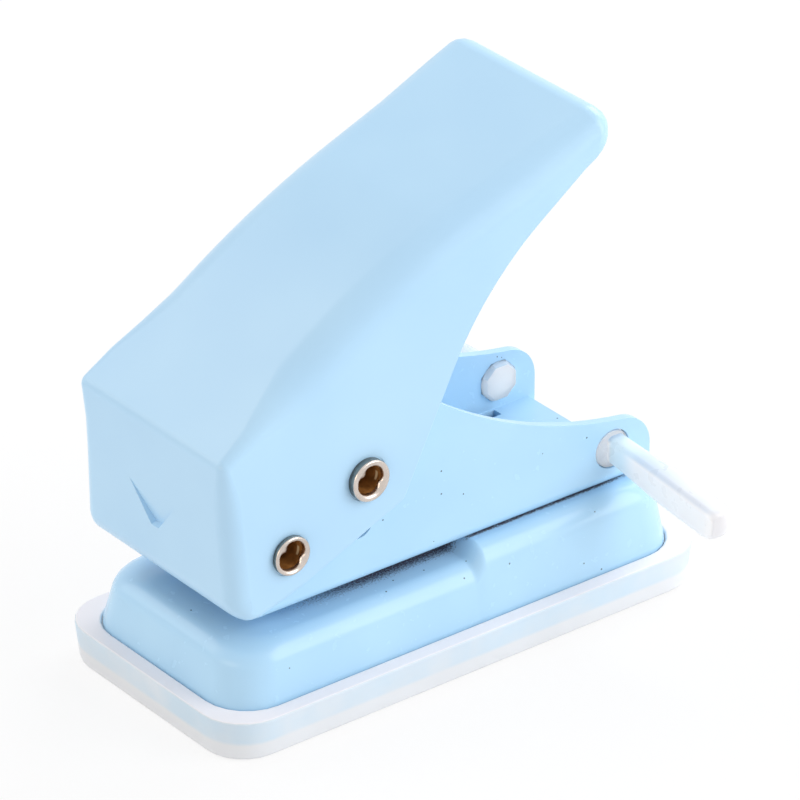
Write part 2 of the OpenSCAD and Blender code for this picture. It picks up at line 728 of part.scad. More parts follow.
// Flat side of a skin, from the ends of its rows, with indices p, to points of the lower edge, with indices q
function side_faces(rows, i, p, edge, q) =
    let (top = [for (row = rows) [row[i].x, row[i].z]])
    let (down = shares(concat([top[0]], edge, [top[len(top) - 1]])))
    zipper(p, shares(top), q, [for (k = [1:len(edge)]) down[k]]);

// The moulded shell: outer skin, inner skin, and the rim that joins them
module handle_shell() {
    t = turn_steps + 1;
    w = 2 * t;
    v = len(inner_rows[0]);
    low_n = len(outer_low);
    inner_n = len(inner_low);
    low = len(outer_rows) * w;
    in = low + 2 * low_n * t;
    in_low = in + len(inner_rows) * v;
    end = outer_last * w;
    in_end = in + inner_last * v;
    // Indices of the left half, for both sides: the right half has the same order from its own start
    halves = [for (side = [0, 1])
        let (first = low + side * low_n * t, flip = side == 0 ? 1 : -1)
        let (corner = side * (w - 1), in_corner = side * (v - 1))
        let (out_q = [for (k = [0:low_n - 1]) first + k * t])
        let (in_q = [for (k = [0:inner_n - 1]) in_low + side * inner_n + k])
        let (joint = [for (k = [0:turn_steps - 1])
            let (a = first + k, b = corner + flip * k)
            each [[a, a + 1, b + flip], [a, b + flip, b]]])
        let (close = [for (k = [0:turn_steps - 1])
            let (a = out_q[low_n - 1] + k)
            [end + corner, a + 1, a]])
        concat(
            joint, close, line_faces(turned_round(out_q), t),
            side_faces(
                outer_rows, corner, [for (j = [0:outer_last]) j * w + corner],
                [for (row = low_rows[side]) [row[0].x, row[0].z]], out_q),
            turned_over(side_faces(
                inner_rows, in_corner, [for (j = [0:inner_last]) in + j * v + in_corner],
                [for (q = inner_low) q[0]], in_q)),
            zipper(
                concat([corner + flip * turn_steps], [for (k = out_q) k + turn_steps], [end + corner]),
                concat(
                    [outer_rows[0][turn_steps].x],
                    [for (q = outer_low) q[0].x],
                    [outer_rows[outer_last][0].x]),
                concat([in + in_corner], in_q, [in_end + in_corner]),
                concat(
                    [inner_rows[0][0].x],
                    [for (q = inner_low) q[0].x],
                    [inner_rows[inner_last][0].x])))];
    front = zipper(
        [turn_steps, t], [outer_rows[0][turn_steps].y, outer_rows[0][t].y],
        [for (i = [0:v - 1]) in + i], [for (p = inner_rows[0]) p.y]);
    rear = zipper(
        [for (i = [0:w - 1]) end + i], [for (p = outer_rows[outer_last]) p.y],
        [for (i = [0:v - 1]) in_end + i], [for (p = inner_rows[inner_last]) p.y]);
    polyhedron(
        points = concat(
            [for (row = outer_rows) each row],
            [for (side = low_rows) each [for (row = side) each row]],
            [for (row = inner_rows) each row],
            [for (s = [LEFT, RIGHT], q = inner_low) [q[0].x, s * handle_in, q[0].y]]),
        faces = concat(
            line_faces([for (j = [0:outer_last]) j * w], w),
            turned_over(line_faces([for (j = [0:inner_last]) in + j * v], v)),
            turned_over(front), rear, halves[0], turned_over(halves[1])),
        convexity = 8);
}

// Arrow that points down at the punch, deepest at its tip and fading out upward
module arrow_cut() {
    front = -nose_x - front_slope * (arrow_z + nose_z);
    half_tip = arrow_tip_w / 2;
    lean = atan(front_slope);
    fade = atan(arrow_depth / arrow_l);
    translate([front, 0, arrow_z]) rotate([0, -lean - fade, 0]) translate([arrow_depth, 0, 0])
        rotate([0, -90, 0]) linear_extrude(arrow_depth * 3)
            polygon([[0, -half_tip], [0, half_tip], [arrow_l, arrow_w / 2], [arrow_l, -arrow_w / 2]]);
}

// Hole for a rivet at p from the pivot, with a flat seat for each of its heads
module rivet_cut(p, head_d) {
    from_side(-handle_w, handle_w) translate(p) circle(rivet_r);
    for (y = [-handle_w, handle_w / 2])
        from_side(y, y + handle_w / 2) translate(p) circle(head_d / 2 + head_seat_fit);
}

module handle() {
    color(sky_plastic) translate([pivot_x, 0, pivot_z]) difference() {
        handle_shell();
        rivet_cut([0, 0], pivot_head_d);
        rivet_cut(drive_arm * [cos(drive_rest), sin(drive_rest)], drive_head_d);
        arrow_cut();
    }
}

// Hollow rivet across the handle, with a rolled head on each side
module hollow_rivet(x, z, head_d, t) {
    half = handle_w / 2;
    bore = rivet_bore / 2;
    head = head_d / 2;
    roll = t / 2;
    mouth = (bore + head - 2 * roll) / 2;
    color(nickel) translate([x, 0, z]) rotate([90, 0, 0]) {
        difference() {
            cylinder(r = rivet_r, h = 2 * half + t, center = true);
            cylinder(r = bore, h = 2 * half + 2 * t + past, center = true);
            for (s = [LEFT, RIGHT])
                rotate([s * 90 - 90, 0, 0]) translate([0, 0, half + t - roll])
                    cylinder(r1 = bore, r2 = mouth + roll, h = roll + past);
        }
        for (s = [LEFT, RIGHT])
            rotate([s * 90 - 90, 0, 0]) translate([0, 0, half])
                rotate_extrude() {
                    translate([head - roll, roll]) circle(roll, $fn = roll_sides);
                    translate([rivet_r - roll / 2, 0]) square([head - roll - rivet_r + roll / 2, roll]);
                    polygon([[bore, 0], [head - roll, 0], [head - roll, t], [mouth + roll / 2, t]]);
                }
    }
}

module pivot_rivet() { hollow_rivet(pivot_x, pivot_z, pivot_head_d, pivot_head_t); }
module drive_rivet() { hollow_rivet(drive_x, drive_z, drive_head_d, drive_head_t); }

// Tube on a rivet, from y_low to y_high
module collar_on_rivet(x, z, d, y_low, y_high) {
    translate([x, 0, z]) from_side(y_low, y_high) difference() {
        circle(d = d);
        circle(rivet_r);
    }
}

module drive_sleeve() {
    end = frame_in - washer_gap;
    color(steel) collar_on_rivet(drive_x, drive_z, sleeve_d, -end, end);
}

// Nylon washer between the handle's wall and the frame's
module washer(x, z, side) {
    near = handle_in - washer_t;
    y = side == LEFT ? [-handle_in, -near] : [near, handle_in];
    color(nylon) collar_on_rivet(x, z, washer_d, y[0], y[1]);
}

module pivot_washer_left() { washer(pivot_x, pivot_z, LEFT); }
module pivot_washer_right() { washer(pivot_x, pivot_z, RIGHT); }
module drive_washer_left() { washer(drive_x, drive_z, LEFT); }
module drive_washer_right() { washer(drive_x, drive_z, RIGHT); }

module punch_pin() {
    low = frame_z + punch_lift;
    r = punch_d / 2;
    core = r - clip_depth;
    groove_low = clip_z - clip_fit;
    chamfer = clip_top / 3;
    color(steel) translate([punch_x, 0, 0]) difference() {
        rotate_extrude() polygon([
            [0, low], [r, low], [r, groove_low], [core, groove_low], [core, groove_top],
            [r, groove_top], [r, punch_top - chamfer], [r - chamfer, punch_top], [0, punch_top]
        ]);
        translate([0, 0, low + punch_hollow - punch_hollow_r])
            rotate([90, 0, 0]) cylinder(r = punch_hollow_r, h = 2 * punch_d, center = true);
    }
}

module punch_clip() {
    core = punch_d / 2 - clip_depth + clip_fit;
    gap = punch_d / 3;
    color(spring_steel) translate([punch_x, 0, clip_z]) linear_extrude(clip_t) difference() {
        circle(d = clip_d);
        circle(core);
        translate([0, -gap / 2]) square([clip_d, gap]);
    }
}

module spring_seat() {
    color(steel) translate([punch_x, 0, seat_z]) linear_extrude(seat_t) difference() {
        circle(d = seat_d);
        circle(punch_d / 2 + punch_fit);
    }
}

// Centre line of the return spring: a helix with a straight end at each side
spring_low = floor_z + spring_fit + wire_d / 2;
spring_high = seat_z - spring_fit - wire_d / 2;
rings_a_turn = 8;
spring_rise = (spring_high - spring_low) / spring_turns;
helix = [for (k = [0:spring_turns * rings_a_turn])
    let (a = 360 * k / rings_a_turn)
    [spring_d / 2 * cos(a), spring_d / 2 * sin(a), spring_low + spring_rise * k / rings_a_turn]];
wire_path = concat(
    [helix[0] + [0, -wire_d, 0]],
    helix,
    [helix[len(helix) - 1] + [0, wire_d, 0]]);

// Least gap between wire that lies half a turn or more apart along the path
spring_gap = min([for (i = [0:len(wire_path) - 1], j = [i + rings_a_turn / 2:1:len(wire_path) - 1])
    norm(wire_path[i] - wire_path[j])]) - wire_d;
echo("least gap of the spring to itself", spring_gap);

// Ring of six points square to the path at point i
function wire_ring(i) =
    let (a = wire_path[max(i - 1, 0)], b = wire_path[min(i + 1, len(wire_path) - 1)], p = wire_path[i])
    let (t = unit(b - a), out = unit([p.x, p.y, 0] - t * (t * [p.x, p.y, 0])), up = cross(t, out))
    [for (k = [0:5]) p + wire_d / 2 * (out * cos(60 * k) + up * sin(60 * k))];

module return_spring() {
    color(spring_steel) translate([punch_x, 0, 0])
        ring_solid([for (i = [0:len(wire_path) - 1]) wire_ring(i)]);
}

// Section of a side arm across its length, at distance y
function arm_ring(y, h, w) =
    [for (q = both_sides(plan_side(h, w, arm_edge_r, []))) [q.y, y, q.x]];

// Soft plastic arm snapped into an ear: a head inside, a plug in the hole, a drooping bar outside
module side_arm(side) {
    out = arm_l / cos(arm_droop);
    end_r = arm_end_w / 2;
    shape = concat(
        [[-frame_sheet / 2, arm_neck_h, arm_neck_w], [0, arm_neck_h, arm_neck_w]],
        [for (k = [1:4])
            let (u = ease(k / 4))
            [arm_flare_l * k / 4, arm_neck_h + (arm_end_h - arm_neck_h) * u,
                arm_neck_w + (arm_end_w - arm_neck_w) * u]],
        [for (k = [0:4])
            let (a = 18 * k, shrink = end_r * (1 - cos(a)))
            [out - end_r + end_r * sin(a), arm_end_h - shrink, arm_end_w - shrink * 0.8]]);
    color(frosted) translate([ear_hole_x, side * frame_w / 2, ear_hole_z])
        mirror([0, side == LEFT ? 1 : 0, 0]) {
            rotate([90, 0, 0]) cylinder(d = ear_hole_d - 2 * arm_fit, h = frame_sheet + arm_head_t / 2);
            translate([0, -frame_sheet, 0]) rotate([90, 22.5, 0])
                cylinder(d1 = arm_head_d, d2 = arm_head_d - arm_head_t, h = arm_head_t, $fn = 8);
            translate([arm_back, 0, 0]) rotate([-arm_droop, 0, 0])
                ring_solid([for (p = shape) arm_ring(p[0], p[1], p[2])]);
        }
}

module side_arm_left() { side_arm(LEFT); }
module side_arm_right() { side_arm(RIGHT); }

base();
die_plate();
chip_tray();
frame();
frame_rivet_front();
frame_rivet_rear();
handle();
pivot_rivet();
drive_rivet();
drive_sleeve();
pivot_washer_left();
pivot_washer_right();
drive_washer_left();
drive_washer_right();
punch_pin();
punch_clip();
spring_seat();
return_spring();
side_arm_left();
side_arm_right();
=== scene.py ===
import math

import bmesh
import bpy
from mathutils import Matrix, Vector


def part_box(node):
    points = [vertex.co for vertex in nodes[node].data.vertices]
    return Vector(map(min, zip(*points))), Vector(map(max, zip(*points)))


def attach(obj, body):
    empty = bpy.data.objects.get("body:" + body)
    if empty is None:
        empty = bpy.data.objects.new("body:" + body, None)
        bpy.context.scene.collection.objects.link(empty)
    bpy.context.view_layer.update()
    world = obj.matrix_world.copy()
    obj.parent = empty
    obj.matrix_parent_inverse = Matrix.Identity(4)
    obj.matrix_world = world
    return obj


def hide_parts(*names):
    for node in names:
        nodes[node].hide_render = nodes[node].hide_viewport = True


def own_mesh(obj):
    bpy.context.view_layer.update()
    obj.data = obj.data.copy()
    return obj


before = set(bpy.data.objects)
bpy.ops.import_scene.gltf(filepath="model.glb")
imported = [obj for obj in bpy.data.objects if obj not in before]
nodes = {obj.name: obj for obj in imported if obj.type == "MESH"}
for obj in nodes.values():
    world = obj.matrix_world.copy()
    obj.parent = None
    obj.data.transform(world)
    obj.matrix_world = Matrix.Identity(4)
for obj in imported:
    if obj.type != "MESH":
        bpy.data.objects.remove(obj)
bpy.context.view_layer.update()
scene = bpy.context.scene
MM = 0.001


def srgb(r, g, b):
    """Linear colour of an sRGB colour given in 0 to 255."""
    def lin(c):
        c /= 255
        return c / 12.92 if c <= 0.04045 else ((c + 0.055) / 1.055) ** 2.4
    return (lin(r), lin(g), lin(b), 1)


# Materials

class Shader:
    """A node material with helpers that add and link nodes."""

    def __init__(self, name):
        self.mat = bpy.data.materials.new(name)
        self.mat.use_nodes = True
        self.tree = self.mat.node_tree
        self.bsdf = self.tree.nodes["Principled BSDF"]
        self.coord = self.tree.nodes.new("ShaderNodeTexCoord").outputs["Object"]

    def node(self, kind, inputs=None, **props):
        n = self.tree.nodes.new(kind)
        for k, v in props.items():
            setattr(n, k, v)
        for k, v in (inputs or {}).items():
            self.put(n.inputs[k], v)
        return n

    def put(self, socket, v):
        if isinstance(v, bpy.types.NodeSocket):
            self.tree.links.new(v, socket)
        else:
            socket.default_value = v

    def set(self, **values):
        for k, v in values.items():
            self.put(self.bsdf.inputs[k.replace("_", " ")], v)

    def math(self, op, a, b=0.0, c=0.0):
        return self.node("ShaderNodeMath", {0: a, 1: b, 2: c}, operation=op).outputs[0]

    def mix(self, f, a, b):
        n = self.node("ShaderNodeMix", data_type="RGBA")
        self.put(n.inputs[0], f)
        self.put(n.inputs[6], a)
        self.put(n.inputs[7], b)
        return n.outputs[2]

    def noise(self, scale, detail=3.0, rough=0.5):
        return self.node("ShaderNodeTexNoise", {
            "Vector": self.coord, "Scale": scale, "Detail": detail, "Roughness": rough}).outputs[0]

    def span(self, v, a, b, lo, hi, smooth=False):
        n = self.node("ShaderNodeMapRange", {0: v, 1: a, 2: b, 3: lo, 4: hi})
        n.interpolation_type = "SMOOTHSTEP" if smooth else "LINEAR"
        return n.outputs[0]

    def between(self, v, a, b, c, d):
        """1 where v lies between b and c, fading to 0 at a and d."""
        return self.math("MULTIPLY", self.span(v, a, b, 0, 1, True), self.span(v, c, d, 1, 0, True))

    def cloudy(self, scale, detail, a, b):
        """A colour that drifts softly between a and b."""
        return self.mix(self.span(self.noise(scale, detail), 0.35, 0.65, 0, 1), a, b)

    def uneven(self, scale, detail, low, high):
        """A value that wanders between low and high."""
        return self.span(self.noise(scale, detail), 0.3, 0.7, low, high)

    def xyz(self):
        n = self.node("ShaderNodeSeparateXYZ", {0: self.coord})
        return n.outputs[0], n.outputs[1], n.outputs[2]

    def bump(self, height, strength, distance):
        self.put(self.bsdf.inputs["Normal"], self.node("ShaderNodeBump", {
            "Height": height, "Strength": strength, "Distance": distance}).outputs[0])

    def specks(self, scale, size, share):
        """1 in small scattered dots, of which a share shows."""
        v = self.node("ShaderNodeTexVoronoi", {"Vector": self.coord, "Scale": scale})
        near = self.math("LESS_THAN", v.outputs["Distance"], size)
        shade = self.node("ShaderNodeSeparateColor", {0: v.outputs["Color"]}).outputs[0]
        return self.math("MULTIPLY", near, self.math("LESS_THAN", shade, share))


def moulded_plastic():
    s = Shader("handle_plastic")
    s.set(Base_Color=s.cloudy(60, 2, srgb(178, 217, 246), srgb(183, 221, 248)),
          Roughness=s.uneven(900, 4, 0.28, 0.30))
    s.bump(s.noise(2600, 3), 0.012, 0.04 * MM)
    return s.mat


def painted_sheet(name, crevice_dark):
    """Sprayed paint with dust specks. The mask function passed in gives how far the paint is darkened in
    the crevices, from 0 to 1: painted shade, with a speckled edge like bare metal.
    """
    s = Shader(name)
    # The grey is painted shade in the crevices, partly bare metal.
    dust, shade_and_bare_grey = srgb(58, 66, 84), srgb(100, 95, 108)
    paint = s.cloudy(70, 2, srgb(178, 219, 248), srgb(184, 224, 251))
    paint = s.mix(s.math("MULTIPLY", s.specks(520, 0.055, 0.75), 0.8), paint, dust)
    spray = s.math("SUBTRACT", s.noise(5000, 2), 0.5)
    dark_share = crevice_dark(s)
    # Speckle along the edge of the painted shade, like thin overspray.
    ragged = s.math("MULTIPLY", spray, s.span(dark_share, 0, 0.15, 0, 1.6))
    shade_and_bare_mix = s.span(s.math("ADD", dark_share, ragged), 0.3, 1.0, 0, 1)
    s.set(Base_Color=s.mix(shade_and_bare_mix, paint, shade_and_bare_grey), Roughness=s.uneven(700, 3, 0.2, 0.28),
          Specular_IOR_Level=0.38, Coat_Weight=0.1, Coat_Roughness=0.06)
    s.bump(s.noise(420, 3), 0.06, 0.04 * MM)
    return s.mat


def base_crevice_dark(s):
    """The table is darkened in the paper mouth, as painted shade of the gap with a speckled edge of bare
    metal, and along the frame's rear foot in a thin painted shadow line.
    """
    x, y, z = s.xyz()
    out = s.math("ABSOLUTE", y)
    step_front, step_back = 2.5 * MM, 4.0 * MM
    # Painted shade in the paper mouth, partly bare metal.
    mouth = s.math("MULTIPLY", s.span(out, 6.9 * MM, 9.3 * MM, 1, 0, True),
                   s.between(x, -24 * MM, -6 * MM, step_front, step_back))
    # Painted shadow line in the crevice under the frame's rear foot.
    foot = s.math("MULTIPLY", s.span(out, 9.2 * MM, 9.8 * MM, 1, 0, True),
                  s.between(x, step_front, step_back, 21 * MM, 27 * MM))
    raised = s.span(z, 9.5 * MM, 10.4 * MM, 0, 1, True)
    return s.math("MULTIPLY", s.math("MAXIMUM", mouth, foot), raised)


def frame_crevice_dark(s):
    """The frame is darkened along the lower edge of its walls: painted shade in the crevice on the base,
    partly bare metal.
    """
    y, z = s.xyz()[1:]
    return s.math("MULTIPLY", s.span(z, 12.35 * MM, 12.8 * MM, 1, 0, True),
                  s.span(s.math("ABSOLUTE", y), 8.8 * MM, 9.4 * MM, 0, 1, True))


def frosted(name, low, high, light, rim_see_through):
    """Translucent plastic skin that stops between low and high of the light.

    The last colour is a painted tint beside the base's rim, standing in for the blue rim seen through the
    plastic.
    """
    s = Shader(name)
    # Painted see-through: the base's blue rim tinted into the skin beside it, so it stays when the tray is
    # off.
    painted_rim_tint = s.between(s.xyz()[2], 1.7 * MM, 2.3 * MM, 4.4 * MM, 4.6 * MM)
    cloud = s.span(s.noise(140, 3), 0.35, 0.65, 0.4, 1)
    s.set(Base_Color=s.mix(s.math("MULTIPLY", cloud, painted_rim_tint), light, rim_see_through),
          Roughness=s.uneven(600, 3, 0.42, 0.55), Specular_IOR_Level=0.25,
          Alpha=s.uneven(90, 2, low, high))
    s.bump(s.noise(1500, 3), 0.04, 0.05 * MM)
    return s.mat


def soft_plastic():
    """Milky arm. Its clear-looking neck and its upper face are painted bluish, standing in for the blue
    sheet seen through them; the upper face is also painted darker as shade against the light from above,
    and the end faces near the tip are painted darker as shade.
    """
    s = Shader("arm_plastic")
    out = s.math("ABSOLUTE", s.xyz()[1])
    normal = s.node("ShaderNodeTexCoord").outputs["Normal"]
    facing = s.node("ShaderNodeSeparateXYZ", {0: normal}).outputs
    # Painted see-through: the blue sheet behind the clear neck.
    painted_neck_tint = s.between(out, 10.1 * MM, 10.7 * MM, 12.0 * MM, 15.5 * MM)
    # Share of the painted shade on faces that point up.
    painted_upper_share = s.span(facing[2], 0.2, 0.8, 0, 1, True)
    # Painted shade on the end faces near the tip.
    end = s.math("MULTIPLY", s.span(s.math("ABSOLUTE", facing[1]), 0.2, 0.8, 0, 1, True),
                 s.span(out, 18 * MM, 22 * MM, 0, 1))
    # Colour of the painted shade on the upper face: bluish near the neck where the sheet shows through,
    # greyer towards the tip.
    top = s.mix(s.span(out, 12 * MM, 22 * MM, 0, 1), srgb(180, 202, 228), srgb(208, 212, 221))
    milk = s.cloudy(140, 3, srgb(254, 248, 247), srgb(255, 252, 251))
    milk = s.mix(painted_upper_share, milk, top)
    milk = s.mix(end, milk, srgb(208, 206, 209))
    s.set(Base_Color=s.mix(painted_neck_tint, milk, srgb(206, 229, 249)), Roughness=s.uneven(600, 3, 0.25, 0.36),
          Subsurface_Weight=0.9, Subsurface_Radius=(1.0, 1.0, 1.0), Subsurface_Scale=8 * MM)
    s.bump(s.noise(1500, 3), 0.04, 0.05 * MM)
    return s.mat


def metal(name, light, dark, rough, grain, scratch=0.12):
    s = Shader(name)
    n = s.noise(grain, 5, 0.6)
    s.set(Base_Color=s.mix(s.span(n, 0.3, 0.7, 0, 1), dark, light), Metallic=1.0,
          Roughness=s.uneven(grain * 2.3, 4, rough * 0.75, rough * 1.25))
    s.bump(s.noise(grain * 1.7, 4), scratch, 0.03 * MM)
    return s.mat


def tarnish(name, x, z, half):
    """Brown inside of the rivet at (x, z), with a painted highlight, one bright glint, in each end."""
    s = Shader(name)
    px, py, pz = s.xyz()
    n = s.noise(1400, 4)
    depth = s.math("SUBTRACT", half, s.math("ABSOLUTE", py))
    beside = s.math("SUBTRACT", px, x)
    above = s.math("SUBTRACT", pz, z)
    # Painted highlight: a bright glint on the bore's wall in each end.
    painted_glint = s.math("MULTIPLY", s.between(depth, 0.95 * MM, 1.10 * MM, 1.25 * MM, 1.4 * MM),
                    s.span(beside, 0.7 * MM, 0.9 * MM, 0, 1, True))
    painted_glint = s.math("MULTIPLY", painted_glint, s.between(above, -0.8 * MM, -0.6 * MM, 0.1 * MM, 0.4 * MM))
    brown = s.mix(s.span(n, 0.35, 0.65, 0, 1), srgb(140, 92, 44), srgb(172, 118, 60))
    s.set(Base_Color=s.mix(painted_glint, brown, srgb(250, 226, 180)), Metallic=0.3,
          Roughness=s.span(n, 0.3, 0.7, 0.35, 0.5))
    s.bump(n, 0.15, 0.05 * MM)
    return s.mat


def nylon_mat():
    s = Shader("nylon")
    n = s.noise(800, 3)
    s.set(Base_Color=s.mix(n, srgb(226, 226, 220), srgb(238, 238, 233)),
          Roughness=s.span(n, 0.3, 0.7, 0.4, 0.55),
          Subsurface_Weight=0.15, Subsurface_Radius=(0.001, 0.001, 0.001))
    s.bump(s.noise(2500, 3), 0.08, 0.04 * MM)
    return s.mat


plastic = moulded_plastic()
base_paint = painted_sheet("base_paint", base_crevice_dark)
frame_paint = painted_sheet("frame_paint", frame_crevice_dark)
tray_plastic = frosted("tray_plastic", 0.83, 0.89, srgb(244, 247, 251), srgb(221, 241, 255))
tray_inside = frosted("tray_inside", 0.02, 0.05, srgb(250, 251, 253), srgb(246, 250, 254))
tray_rim = frosted("tray_rim", 0.93, 0.97, srgb(250, 247, 251), srgb(247, 246, 252))
arm_plastic = soft_plastic()
nickel = metal("nickel", srgb(220, 210, 202), srgb(198, 187, 178), 0.26, 500, 0.04)
steel = metal("steel", srgb(178, 180, 184), srgb(150, 152, 156), 0.32, 700)
die_steel = metal("die_steel", srgb(150, 152, 155), srgb(122, 124, 128), 0.4, 500)
spring_wire = metal("spring_wire", srgb(165, 166, 168), srgb(130, 131, 134), 0.25, 1200)
# The rivets' rolled sides: a darker, greener copy of the nickel, as painted shade.
rivet_side_shade = metal("rivet_side_shade", srgb(150, 152, 148), srgb(112, 116, 114), 0.35, 700, 0.03)
nylon = nylon_mat()


# Pieces

def link(name, mesh, body, mats):
    obj = bpy.data.objects.new(name, mesh)
    scene.collection.objects.link(obj)
    for m in mats:
        mesh.materials.append(m)
    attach(obj, body)
    return obj


def smooth(mesh):
    mesh.polygons.foreach_set("use_smooth", [True] * len(mesh.polygons))


def outward(mesh):
    """Turn all faces outward."""
    bm = bmesh.new()
    bm.from_mesh(mesh)
    bmesh.ops.recalc_face_normals(bm, faces=bm.faces)
    bm.to_mesh(mesh)
    bm.free()


def dressed(node, name, body, mat, bevel):
    """The node's own shape with its flat facets joined and its sharp edges rounded."""
    mesh = nodes[node].data.copy()
    mesh.materials.clear()
    mesh.name = name
    bm = bmesh.new()
    bm.from_mesh(mesh)
    bmesh.ops.remove_doubles(bm, verts=bm.verts, dist=0.002 * MM)
    bmesh.ops.dissolve_limit(bm, angle_limit=math.radians(0.6), verts=bm.verts, edges=bm.edges)
    bm.to_mesh(mesh)
    bm.free()
    for attribute in [a.name for a in mesh.attributes if a.name in ("custom_normal", "sharp_face")]:
        mesh.attributes.remove(mesh.attributes[attribute])
    smooth(mesh)
    obj = link(name, mesh, body, [mat])
    b = obj.modifiers.new("edges", "BEVEL")
    b.limit_method = "ANGLE"
    b.angle_limit = math.radians(38)
    b.width = bevel
    b.segments = 3
    b.use_clamp_overlap = True
    w = obj.modifiers.new("normals", "WEIGHTED_NORMAL")
    w.weight = 60
    w.keep_sharp = True
    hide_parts(node)
    return obj


def round_rim(mesh, width):
    """Round the tray's outer top edge, beside which the base's rim shows through, partly as a painted
    tint.
    """
    bm = bmesh.new()
    bm.from_mesh(mesh)
    top = max(v.co.z for v in bm.verts) - 0.01 * MM

    def outer(face):
        c, n = face.calc_center_median(), face.normal
        return abs(n.z) < 0.5 and n.x * c.x + n.y * c.y > 0
    edges = [e for e in bm.edges if min(v.co.z for v in e.verts) > top and any(map(outer, e.link_faces))]
    bmesh.ops.bevel(bm, geom=edges, offset=width, offset_type="OFFSET", segments=5, profile=0.5,
                    affect="EDGES", clamp_overlap=True)
    bm.to_mesh(mesh)
    bm.free()
    smooth(mesh)


def frosted_tray():
    """Chip tray with a frosted skin, a clear inside and a denser rim."""
    obj = dressed("chip_tray", "frosted_tray", "tray", tray_plastic, 0.12 * MM)
    round_rim(obj.data, 0.8 * MM)
    obj.data.materials.append(tray_inside)
    obj.data.materials.append(tray_rim)
    skin, inside, rim = range(3)
    for face in obj.data.polygons:
        c, n = face.center, face.normal
        inner_wall = abs(n.z) < 0.5 and n.x * c.x + n.y * c.y < 0
        inner_floor = n.z > 0.5 and c.z < 3 * MM
        face.material_index = inside if inner_wall or inner_floor else rim if n.z > 0.9 else skin


dressed("handle", "lever_handle", "lever", plastic, 0.22 * MM)
dressed("base", "pressed_base", "stand", base_paint, 0.12 * MM)
dressed("frame", "folded_frame", "stand", frame_paint, 0.16 * MM)
frosted_tray()
for side in ("left", "right"):
    dressed("side_arm_" + side, "soft_arm_" + side, "stand", arm_plastic, 0.15 * MM)
for end in ("front", "rear"):
    dressed("frame_rivet_" + end, "domed_rivet_" + end, "stand", steel, 0.05 * MM)


def torn_lip(degrees, depth):
    """How far a rivet's lip is folded in at this angle and depth, in mm."""
    here = min(1, max(0, (depth - 0.05) / 0.4)) * min(1, max(0, (1.0 - depth) / 0.3))

    def flap(at, wide):
        gap = (degrees - at + 180) % 360 - 180
        return math.exp(-(gap / wide) ** 2)
    return here * (0.82 * flap(135, 24) + 0.24 * flap(-33, 18) + 0.2 * flap(180, 9) + 0.12 * flap(85, 8))


def rivet(node, name):
    """Hollow rivet: a proud rolled head on each side, whose torn lip folds into the mouth.

    Its profile is a list of radius and depth below the head's face, in mm.
    """
    low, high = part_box(node)
    x, z, half = (low.x + high.x) / 2, (low.z + high.z) / 2, high.y / MM
    handle_side, tube, roll, lip = 13.0, 1.6, 0.30, 0.16
    head, thick = (high.x - low.x) / 2 / MM, half - handle_side
    side = [(tube, thick), (head - 0.02, thick)]
    side += [(head - lip * (1 - math.cos(a)), roll - roll * math.sin(a))
             for a in (0.0, 0.5, 1.0, math.pi / 2)]
    face = [(1.98, 0.0), (1.82, 0.03), (1.7, 0.12), (1.62, 0.25), (1.58, 0.42), (1.56, 0.62)]
    bore = [(1.52, 0.8), (1.46, 1.1), (1.4, 1.6), (1.34, 2.6)]
    near = [(r, d - half) for r, d in side + face + bore]
    profile = near + [(r, -y) for r, y in reversed(near)]
    n, m = 120, len(profile)
    verts, faces, kinds = [], [], []
    plate, flank, inside = range(3)
    for k in range(n):
        a = 2 * math.pi * k / n
        for i, (r, y) in enumerate(profile):
            if len(side) < i < m - len(side):
                r -= torn_lip(math.degrees(a), half - abs(y))
            verts.append((x + r * MM * math.cos(a), y * MM, z + r * MM * math.sin(a)))
    for k in range(n):
        for i in range(m):
            j, u = (i + 1) % m, (k + 1) % n
            faces.append((k * m + i, k * m + j, u * m + j, u * m + i))
            e = min(i, m - 2 - i)
            kinds.append(flank if e < 3 else inside if e >= len(side) + len(face) - 1 else plate)
    mesh = bpy.data.meshes.new(name)
    mesh.from_pydata(verts, [], faces)
    # The sides take the darker copy of the nickel, which is painted shade.
    mats = [nickel, rivet_side_shade, tarnish(name + "_inside", x, z, half * MM)]
    obj = link(name, mesh, "lever", mats)
    smooth(mesh)
    mesh.polygons.foreach_set("material_index", kinds)
    outward(mesh)
    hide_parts(node)


rivet("pivot_rivet", "pivot_eyelet")
rivet("drive_rivet", "drive_eyelet")


